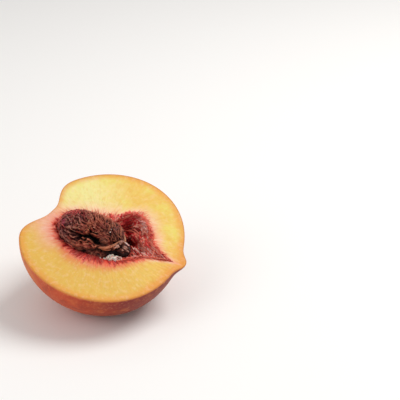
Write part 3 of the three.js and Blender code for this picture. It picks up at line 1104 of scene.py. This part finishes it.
hair_bearing = np.append(chance.uniform(55.0, 175.0, hair_count), chance.normal(67.0, 6.0, sweep_count))
hair_root = np.append(np.full(hair_count, -0.0006), -chance.uniform(0.0002, 0.0016, sweep_count))
hair_away = hair_root[:, None] + hairs_and_sweeps(hair_lengths, sweep_lengths) * t
hair_way = hair_bearing[:, None] + chance.normal(0.0, 5.0, hair_count + sweep_count)[:, None] * t**1.4
hair_rise = hairs_and_sweeps(hair_rises, sweep_rises) * t + 0.00005
hair_width = hairs_and_sweeps(hair_widths, sweep_widths) * (1.0 - 0.7 * t)
hair_tone = 0.14 + 0.34 * chance.random(hair_count + sweep_count)
hair_tone[hair_count:] += 0.2
hairs = edge_strings("loose_hairs", hair_way, hair_away, hair_rise, hair_width, 0.8, 5, hair_tone)


def on_stone(x, around, lift):
    """A point over the stone's crests: x is millimetres along it, and lift is over its ridges."""
    along = np.degrees(np.arccos(np.clip(-0.001 * x / stone_length, -1.0, 1.0)))
    point = stone_point(along, around)
    height = 0.85 * broad_form(point, around) + lift
    return point + outward_of(point) * height[..., None] + stone_middle


def spindle(low, high, count, ends):
    """Widths of count threads: from low to high at their middle, and a share of that at their ends."""
    return chance.uniform(low, high, (count, 1)) * (ends + (1.0 - ends) * np.sin(math.pi * t))


# The net on the stone follows its grain, which turns round the cheek on its way to the nose.
net_count = 420
net_x = chance.uniform(-17.0, 14.5, net_count)[:, None]
net_around = chance.uniform(-5.0, 190.0, net_count)[:, None]
net_long = chance.uniform(0.6, 2.4, (net_count, 1)) * chance.choice([-1.0, 1.0], (net_count, 1))
net_cross = chance.normal(0.0, 12.0, (net_count, 1))
net_way = np.clip(net_x + net_long * t, -17.6, 15.5)
net_steep = twist_per_mm * (1.0 - eased(net_around, twist_level, twist_faded)) + 1.5
net_turn = net_steep * (np.clip(net_way, twist_from, None) - np.clip(net_x, twist_from, None))
net_angle = net_around + net_turn + net_cross * t + sway(3.0, 5.0, net_count)
net_lift = chance.uniform(-0.0006, 0.0002, (net_count, 1)) + 0.0001 * np.sin(math.pi * t)
net_paths = on_stone(net_way, net_angle, net_lift)
net_width = spindle(0.0001, 0.00026, net_count, 0.4)
crimson_end = (net_x[:, 0] < -8.0) & (net_around[:, 0] < 118.0) & (chance.random(net_count) < 0.3)
net_tone = np.where(crimson_end, chance.uniform(0.86, 0.95, net_count), 0.80 * chance.random(net_count))
net_smooth = stone_point(np.degrees(np.arccos(-0.001 * net_way / stone_length)), net_angle)
over_valley = broad_form(net_smooth, net_angle).min(axis=1) < -0.0008
net_ups = outward_of(net_paths[:, :1] - stone_middle)


def smooth_way(places, count):
    """So many points of a smooth curve through the places."""
    steps = np.column_stack([np.arange(len(places)), places])
    way = np.linspace(0.0, len(places) - 1.0, count)
    return np.stack([flowing(way, steps, column) for column in range(1, steps.shape[1])], axis=-1)


# Crimson threads of flesh cross the stone's edge on its far side, thickest towards the stem, and
# more of them cling round the stem's end.
rim_count = 150
rim_x = -17.6 + 7.0 * chance.random(rim_count)[:, None] ** 1.5
rim_around = chance.uniform(24.0, 70.0, rim_count)[:, None]
round_stem = np.arange(rim_count)[:, None] % 3 == 0
rim_x = np.where(round_stem, -17.9 + 2.2 * chance.random((rim_count, 1)), rim_x)
rim_around = np.where(round_stem, chance.uniform(60.0, 190.0, (rim_count, 1)), rim_around)
rim_way = np.clip(rim_x + chance.normal(0.0, 1.2, (rim_count, 1)) * t, -17.8, 0.0)
rim_angle = rim_around + chance.uniform(8.0, 30.0, (rim_count, 1)) * t + sway(3.0, 5.0, rim_count)
rim_paths = on_stone(rim_way, rim_angle, chance.uniform(-0.0003, 0.0004, (rim_count, 1)))
rim_width = spindle(0.00016, 0.0005, rim_count, 0.35)
rim_ups = outward_of(rim_paths[:, :1] - stone_middle)
rim_tone = chance.uniform(0.855, 0.955, rim_count)

# Pale strands meet on the nose, each a bundle of thin threads. A bundle has its places, along the
# stone and around it in millimetres and degrees, how many threads it has and their middle shade.
nose_bundles = (
    (((5.8, 157.5), (7.8, 150.5), (10.1, 140.0), (11.9, 121.0), (13.1, 80.5)), 26, 0.64),
    (((7.8, 157.5), (9.0, 156.0), (10.5, 153.0), (12.0, 141.5)), 14, 0.60),
    (((13.0, 80.0), (13.8, 58.0), (12.8, 36.0), (11.0, 22.0)), 18, 0.76),
    (((12.6, 77.0), (11.0, 60.5), (9.5, 49.0), (8.0, 40.0)), 12, 0.58),
)
bundle_paths, bundle_tones = [], []
for places, bundle_count, bundle_tone in nose_bundles:
    line = smooth_way(places, 61)
    for _ in range(bundle_count):
        begin = chance.uniform(0.0, 36.0)
        reach = np.linspace(begin, min(60.0, begin + chance.uniform(12.0, 30.0)), stations)
        x = np.interp(reach, np.arange(61), line[:, 0]) + chance.normal(0.0, 0.16)
        around = np.interp(reach, np.arange(61), line[:, 1]) + chance.normal(0.0, 2.0)
        wave = 1.5 * np.sin(0.2 * reach + chance.uniform(0.0, 6.0))
        bundle_paths.append(on_stone(x, around + wave, chance.uniform(-0.00005, 0.0003)))
        bundle_tones.append(bundle_tone + chance.uniform(-0.08, 0.08))
bundle_paths = np.array(bundle_paths)
bundle_count = len(bundle_paths)
bundle_width = spindle(0.00018, 0.0004, bundle_count, 0.4)
bundle_ups = outward_of(bundle_paths[:, :1] - stone_middle)
net = thread_mesh(
    "stone_threads",
    np.concatenate([net_paths[~over_valley], bundle_paths, rim_paths]),
    np.concatenate([net_width[~over_valley], bundle_width, rim_width]),
    0.7,
    5,
    np.concatenate([net_ups[~over_valley], bundle_ups, rim_ups]),
    np.concatenate([net_tone[~over_valley], bundle_tones, rim_tone]),
)

# Pale torn ends on the open wall, set where it glints, so partly painted highlights: the bearing and
# run of both ends, and the width in millimetres.
pale_ends = (
    (35.0, 0.76, 24.0, 0.83, 0.55),
    (58.0, 0.86, 50.0, 0.88, 0.40),
    (50.5, 0.66, 46.0, 0.78, 0.50),
    (22.0, 0.84, 19.0, 0.89, 0.65),
    (24.0, 0.67, 17.0, 0.67, 0.60),
    (18.5, 0.74, 14.5, 0.79, 0.50),
    (17.0, 0.66, 13.0, 0.71, 0.45),
    (26.0, 0.88, 24.0, 0.93, 0.40),
)
pale_stations, lip_end_count, wall_end_count = 14, 26, 44
pale_t = np.linspace(0.0, 1.0, pale_stations)
pale_paths, pale_widths = [], []


def lay_pale_end(way, rise, lift, width):
    """Keeps a pale end that lies along the way, lifted off it and more so at its middle."""
    way[:, 2] += rise * np.sin(math.pi * pale_t) + lift
    pale_paths.append(way)
    pale_widths.append(width)


for bearing, run, to_bearing, to_run, width in pale_ends:
    way = on_flesh(bearing + (to_bearing - bearing) * pale_t, run + (to_run - run) * pale_t)
    lay_pale_end(way, 0.0007, 0.0003, width)
# A slack strand still ties the nose to the wall.
bridge_start = on_stone(np.array([13.0, 14.6, 16.2]), np.array([80.0, 64.0, 52.0]), 0.0002)
bridge_end = on_flesh(np.array([22.0, 18.0]), np.array([0.60, 0.68])) + np.array([0.0, 0.0, 0.0006])
bridge_bend = 0.5 * (bridge_start[-1:] + bridge_end[:1]) - np.array([0.0, 0.0, 0.0002])
pale_paths.append(smooth_way(np.concatenate([bridge_start, bridge_bend, bridge_end]), pale_stations))
pale_widths.append(0.48)
# Short pale wet ends on the near lip, under the stone, stand in for its glints: partly painted
# highlights.
for _ in range(lip_end_count):
    bearing, away = chance.uniform(278.0, 334.0), -chance.uniform(0.0002, 0.0016)
    turn, reach = chance.uniform(-5.0, 5.0), chance.uniform(-0.0004, 0.0004)
    way = off_edge(bearing + turn * pale_t, away + reach * pale_t)
    lay_pale_end(way, 0.0004, 0.0001, chance.uniform(0.2, 0.5))
# More of them lie along the wall towards the narrow end.
for _ in range(wall_end_count):
    bearing, run = chance.normal(18.0, 7.0), chance.uniform(0.74, 0.94)
    turn, reach = -chance.uniform(1.5, 5.0), chance.uniform(0.0, 0.05)
    way = on_flesh(bearing + turn * pale_t, run + reach * pale_t)
    lay_pale_end(way, 0.0006, 0.0003, chance.uniform(0.2, 0.45))
pale_paths = np.array(pale_paths)
pale_taper = 0.25 + 0.75 * np.sin(math.pi * pale_t) ** 0.6
pale_taper = pale_taper * (1.0 + 0.5 * roughness_of(pale_paths, 0.0009, 23.0, 2))
pale = thread_mesh(
    "pale_ends",
    pale_paths,
    0.001 * np.array(pale_widths)[:, None] * pale_taper,
    0.7,
    8,
    np.array([0.3, -0.6, 0.7]),
    chance.uniform(0.72, 0.98, len(pale_paths)),
)

# Salmon shreds hang from the far rim of the open wall and lean round towards the fruit's tip.
shred_count = 90
rim_chance = np.random.default_rng(4)
shred_bearing = rim_chance.uniform(54.0, 86.0, shred_count)
shred_away = -rim_chance.uniform(0.0004, 0.0032, shred_count)
shred_turn = -rim_chance.uniform(3.0, 14.0, shred_count)
shred_climb = rim_chance.uniform(0.0004, 0.0024, shred_count)
shred_way = shred_bearing[:, None] + shred_turn[:, None] * t
shred_away = shred_away[:, None] + shred_climb[:, None] * t
shred_rise = rim_chance.uniform(0.0004, 0.0011, (shred_count, 1)) * np.sin(math.pi * (0.15 + 0.6 * t))
shred_width = rim_chance.uniform(0.0003, 0.0009, (shred_count, 1))
shred_width = shred_width * (0.25 + 0.75 * np.sin(math.pi * t**0.7))
shred_tone = 0.42 + 0.42 * rim_chance.random(shred_count)
shred_tone[::4] = 0.24
rim_shreds = edge_strings(
    "rim_shreds", shred_way, shred_away, shred_rise, shred_width, 0.6, 6, shred_tone
)

# The shades of torn flesh, from its tone: dark wine crimson, also used as painted shade along the
# shade bands, bright crimson, salmon and pale pink.
torn_shades = (
    (0.0, shade(64, 4, 10)),
    (0.12, shade(150, 16, 26)),
    (0.28, shade(208, 42, 48)),
    (0.45, shade(232, 82, 78)),
    (0.7, shade(240, 134, 114)),
    (0.9, shade(248, 184, 168)),
    (0.98, shade(255, 206, 196)),
)


def torn_finish(name, tip, tip_share, gloss=0.22, roughness=0.34):
    """Wet torn flesh, in the shade of its tone, that turns to the tip's colour along its length."""
    material, start = finish(name)
    along = fact(start, "along")
    tone = fact(start, "tone")
    speck = grain(world_place(start), 1300.0)
    tone_here = tone + (speck - 0.5) * 0.3
    colour = start.node("ShaderNodeValToRGB", {"stops": torn_shades}, {"Fac": tone_here})
    turning = (along + (tone - 0.5) * 0.6).step(0.3, 1.0)
    start.surfaced(
        {
            "Base Color": (turning * tip_share).mixed(colour, tip),
            "Roughness": roughness + speck * 0.2,
            "Specular IOR Level": gloss,
            "Subsurface Weight": 0.3,
            "Subsurface Radius": (1.0, 0.3, 0.2),
            "Subsurface Scale": 0.0006,
        }
    )
    return material


fringe_tip = shade(226, 96, 78)
wall_material = torn_finish("torn_flesh", crimson_light, 0.4)

# Each thread's shade, from its tone: dark and light brown, then crimson, then pale.
thread_shades = (
    (0.0, shade(84, 26, 14)),
    (0.3, shade(142, 60, 40)),
    (0.62, shade(194, 112, 80)),
    (0.82, shade(214, 164, 126)),
    (0.86, shade(170, 34, 42)),
    (0.95, shade(232, 100, 94)),
    (0.98, shade(246, 206, 190)),
)
thread_speck = shade(96, 40, 26)


def stone_thread_finish():
    material, start = finish("stone_threads")
    tone = fact(start, "tone")
    speck = grain(world_place(start), 1600.0, 2.0, 0.5)
    colour = start.node("ShaderNodeValToRGB", {"stops": thread_shades}, {"Fac": tone})
    colour = (speck.step(0.45, 0.75) * 0.5).mixed(colour, thread_speck)
    start.surfaced({"Base Color": colour, "Roughness": 0.32 + speck * 0.25, "IOR": 1.42})
    return material


for strings, strings_material in (
    (fringe, torn_finish("fringe_strings", fringe_tip, 0.4)),
    (torn, wall_material),
    (shreds, wall_material),
    (rim_shreds, wall_material),
    (tufts, torn_finish("loose_tufts", crimson_light, 0.8)),
    (hairs, torn_finish("loose_hairs", crimson_light, 0.3)),
    (net, stone_thread_finish()),
    (pale, torn_finish("pale_ends", crimson_light, 0.0, 0.7, 0.16)),
):
    strings.data.materials.append(strings_material)
    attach(strings, "root")

# Pulp. Scraps of white wet flesh that stay in the hollow where the stone has come away: a heap
# along the near edge, beside the nose, and a few small ones over the open wall and on the stone;
# these small pale ones stand in for wet glints there, as painted highlights.
# Lumps of crimson flesh cling to the open wall and lie in a soft mound on its edge.


def lump_mesh(name, centres, sizes, tones):
    """Joined scraps of pulp: uneven round lumps, each turned and stretched its own way."""
    columns, rows = 14, 9
    around = np.arange(columns) * 2.0 * math.pi / columns
    down = np.arange(1, rows) * math.pi / rows
    ring = np.stack(
        [
            np.sin(down)[:, None] * np.cos(around)[None],
            np.sin(down)[:, None] * np.sin(around)[None],
            np.cos(down)[:, None] + 0.0 * around[None],
        ],
        axis=-1,
    ).reshape(-1, 3)
    ball = np.concatenate([[[0.0, 0.0, 1.0]], ring, [[0.0, 0.0, -1.0]]])
    points = []
    for number, (centre, size) in enumerate(zip(centres, sizes)):
        swell = 1.0 + 0.55 * roughness_of(ball, 0.9, 17.0 * number, 3)
        turn = np.linalg.qr(chance.normal(size=(3, 3)))[0]
        turn *= np.sign(np.linalg.det(turn))
        points.append(centre + (ball * swell[:, None] * size) @ turn.T)
    faces = closed_faces(rows - 1, columns, len(centres), turned_over=True)
    tone = np.repeat(tones, len(ball))
    return joined_mesh(name, np.concatenate(points), faces, {"tone": tone, "along": 0.0 * tone})


heap_count, wall_count = 210, 46
heap_radii, wall_radii, cheek_glint_radii = (0.00026, 0.00075), (0.00012, 0.00045), (0.00016, 0.00030)
heap_bearing = np.clip(chance.normal(-36.0, 7.0, heap_count), -62.0, -23.0)
heap_middle = bell(heap_bearing + 33.5, 9.0)
heap_away = chance.uniform(0.0010, 0.0016 + 0.0028 * heap_middle)
heap_radius = hollow_radius(heap_bearing) - heap_away
heap_centres = direction(heap_bearing) * heap_radius[:, None]
heap_centres[:, 2] = -chance.uniform(0.0, 0.0022, heap_count) + 0.15 * (0.0045 - heap_away)
heap_sizes = chance.uniform(*heap_radii, (heap_count, 3)) * (0.5 + 0.5 * heap_middle)[:, None]
# Small pale scraps over the open wall towards its narrow end: painted highlights, for its wet glints.
wall_bearing = chance.uniform(2.0, 26.0, wall_count)
wall_centres = off_edge(wall_bearing, -chance.uniform(0.0, 0.0060, wall_count))
wall_centres[:, 2] += 0.0003
wall_sizes = chance.uniform(*wall_radii, (wall_count, 3))
# Three small pale scraps on the cheek of the stone stand in for its wet glints: painted highlights.
cheek_glint_centres = on_stone(np.array([7.2, 7.7, 0.4]), np.array([83.5, 92.5, 103.5]), 0.0)
cheek_glint_sizes = chance.uniform(*cheek_glint_radii, (3, 3))
pulp = lump_mesh(
    "pulp_scraps",
    np.concatenate([heap_centres, wall_centres, cheek_glint_centres]),
    np.concatenate([heap_sizes, wall_sizes, cheek_glint_sizes]),
    np.append(chance.random(heap_count + wall_count), [0.85, 0.7, 0.8]),
)

lump_count, mound_count = 230, 60
lump_radii, mound_radii = (0.00025, 0.0009), (0.0004, 0.0009)
lump_bearing = edge_bearings(lump_count, pocket_weight)
lump_run = chance.uniform(0.55, 0.99, lump_count)
lump_centres = on_flesh(lump_bearing, lump_run)
lump_kept = clear_of_shade_bands(darkness(lump_centres))
# A few more make a soft mound on the far edge of the hollow, between the stone and the open wall.
mound_bearing = chance.normal(83.0, 5.0, mound_count)
mound_centres = off_edge(mound_bearing, chance.uniform(-0.0008, 0.0042, mound_count))
lump_sizes = chance.uniform(*lump_radii, (lump_count, 3))[lump_kept]
mound_sizes = chance.uniform(*mound_radii, (mound_count, 3))
red_lumps = lump_mesh(
    "torn_lumps",
    np.concatenate([lump_centres[lump_kept], mound_centres]),
    np.concatenate([lump_sizes, mound_sizes]),
    np.concatenate([wall_tone(lump_centres)[lump_kept], chance.uniform(0.36, 0.8, mound_count)]),
)
red_lumps.data.materials.append(wall_material)
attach(red_lumps, "root")

pulp_white = shade(255, 236, 220)
pulp_pink = shade(226, 140, 132)


def pulp_finish():
    material, start = finish("wet_pulp")
    tone = fact(start, "tone")
    speck = grain(world_place(start), 1100.0)
    start.surfaced(
        {
            "Base Color": (tone * 0.5 + speck * 0.7).step(0.48, 0.97).mixed(pulp_white, pulp_pink),
            "Roughness": 0.2 + speck * 0.2,
            "IOR": 1.38,
            "Subsurface Weight": 0.5,
            "Subsurface Radius": (1.0, 0.5, 0.4),
            "Subsurface Scale": 0.0008,
        }
    )
    return material


pulp.data.materials.append(pulp_finish())
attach(pulp, "root")

# Floor and light. A plain white table under a large soft lamp behind and to the right, with a weaker
# one in front and to the left, in a bright white room.

floor_mesh = bpy.data.meshes.new("floor")
floor_reach, floor_level = 3.0, -0.00005
corners = [(-floor_reach, -floor_reach), (floor_reach, -floor_reach), (floor_reach, floor_reach)]
corners.append((-floor_reach, floor_reach))
floor_mesh.from_pydata([(x, y, floor_level) for x, y in corners], [], [(0, 1, 2, 3)])
floor = bpy.data.objects.new("floor", floor_mesh)
bpy.context.scene.collection.objects.link(floor)
floor_material, floor_start = finish("white_table")
floor_white = (0.93, 0.925, 0.92, 1.0)
floor_start.surfaced({"Base Color": floor_white, "Roughness": 0.6, "Specular IOR Level": 0.2})
floor_mesh.materials.append(floor_material)

room_white, room_brightness = (1.0, 0.985, 0.97, 1.0), 0.5
world = bpy.data.worlds.new("room")
world.use_nodes = True
world.node_tree.nodes["Background"].inputs["Color"].default_value = room_white
world.node_tree.nodes["Background"].inputs["Strength"].default_value = room_brightness
bpy.context.scene.world = world


def lamp(name, place, size, power, tint):
    data = bpy.data.lights.new(name, "AREA")
    data.shape = "DISK"
    data.size = size
    data.energy = power
    data.color = tint
    made = bpy.data.objects.new(name, data)
    made.location = place
    made.rotation_euler = (cut_centre - Vector(place)).to_track_quat("-Z", "Y").to_euler()
    bpy.context.scene.collection.objects.link(made)


lamp("window", place=(0.50, 0.19, 0.77), size=0.6, power=5.7, tint=(1.0, 0.98, 0.95))
lamp("fill", place=(-0.6, -0.5, 0.6), size=0.8, power=1.9, tint=(1.0, 0.99, 0.98))

bpy.context.scene.view_settings.view_transform = "Standard"
